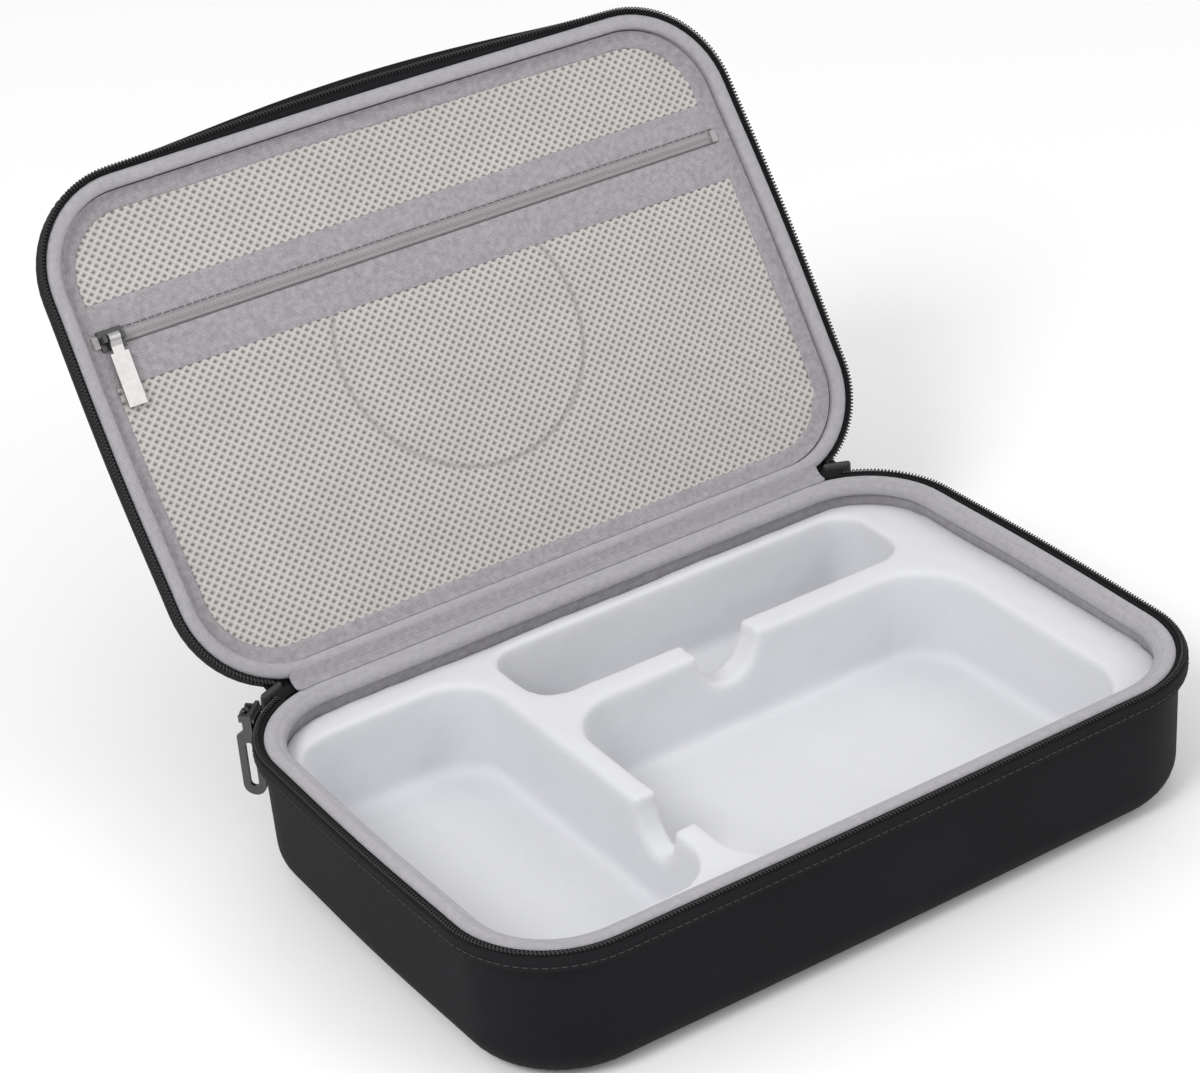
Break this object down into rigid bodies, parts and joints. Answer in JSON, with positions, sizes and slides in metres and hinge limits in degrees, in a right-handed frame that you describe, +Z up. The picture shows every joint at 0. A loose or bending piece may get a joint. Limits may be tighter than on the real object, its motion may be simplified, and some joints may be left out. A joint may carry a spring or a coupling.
{
  "type": "zippered hard-shell carrying case for a camera drone",
  "caption": "Open zippered EVA carrying case with a moulded pocket tray and a net pocket in the hinged lid. The webbing carry handle at the back is a guess.",
  "frame": {"origin": "centre of the base's flat underside", "axes": "+Z up, +X along the long side to the right, +Y from the zip opening at the front towards the fabric hinge at the back"},
  "size_m": [0.3168, 0.3475, 0.23],
  "materials": {
    "shell_cloth": "fine matte woven cloth laminated on moulded foam",
    "zip_tape": "woven polyester tape",
    "zip_coil": "nylon coil",
    "knit_lining": "brushed grey knit",
    "rim_piping": "light grey knit binding",
    "tray_flock": "pearl flock",
    "netting": "warm grey knitted netting",
    "webbing": "ribbed webbing",
    "grip_rubber": "soft matte",
    "gunmetal": "dark plated zinc",
    "nickel": "bright nickel plate"
  },
  "bodies": {
    "base": {"base_shell": "shell_cloth", "base_lining": "knit_lining", "base_rim_piping": "rim_piping", "base_zip_tape": "zip_tape", "base_zip_coil": "zip_coil", "tray_pad": "tray_flock", "tray_insert_drone_side": "tray_flock", "tray_insert_remote_side": "tray_flock", "hinge_webbing_base": "webbing", "hinge_lining_base": "knit_lining", "zip_end_tab_left": "webbing", "zip_end_tab_right": "webbing", "handle_strap": "webbing", "handle_grip": "grip_rubber", "handle_patch_left": "grip_rubber", "handle_patch_right": "grip_rubber", "handle_rivet_left_lower": "gunmetal", "handle_rivet_left_upper": "gunmetal", "handle_rivet_right_lower": "gunmetal", "handle_rivet_right_upper": "gunmetal"},
    "lid": {"lid_shell": "shell_cloth", "lid_lining": "knit_lining", "lid_rim_piping": "rim_piping", "lid_zip_tape": "zip_tape", "lid_zip_coil": "zip_coil", "hinge_webbing_lid": "webbing", "hinge_lining_lid": "knit_lining", "pocket_border": "knit_lining", "net_panel_front": "netting", "net_panel_back": "netting", "pocket_band_front": "knit_lining", "pocket_band_back": "knit_lining", "pocket_zip_coil": "knit_lining", "pocket_zip_stop_left": "gunmetal", "pocket_zip_stop_right": "gunmetal"},
    "main_zip_slider": {"main_slider": "gunmetal"},
    "main_zip_puller": {"main_puller": "gunmetal"},
    "pocket_zip_slider": {"pocket_slider": "gunmetal"},
    "pocket_zip_puller": {"pocket_puller": "nickel"}
  },
  "joints": [
    {"name": "lid_hinge", "type": "hinge", "parent": "base", "child": "lid", "pos_m": [0, 0.10175, 0.0588], "axis": [-1, 0, 0], "range_deg": [-125, 0]},
    {"name": "main_zip", "type": "hinge", "parent": "base", "child": "main_zip_slider", "pos_m": [-0.1134, 0.0604, 0.0588], "axis": [0, 0, 1], "range_deg": [0, 47]},
    {"name": "main_puller_swing", "type": "hinge", "parent": "main_zip_slider", "child": "main_zip_puller", "pos_m": [-0.14648, 0.09587, 0.059], "axis": [0.7314, 0.682, 0], "range_deg": [0, 100]},
    {"name": "pocket_zip", "type": "slide", "parent": "lid", "child": "pocket_zip_slider", "axis": [1, 0, 0], "range_m": [0, 0.27]},
    {"name": "pocket_puller_swing", "type": "hinge", "parent": "pocket_zip_slider", "child": "pocket_zip_puller", "pos_m": [-0.136, 0.18813, 0.17624], "axis": [-1, 0, 0], "range_deg": [0, 150]}
  ]
}
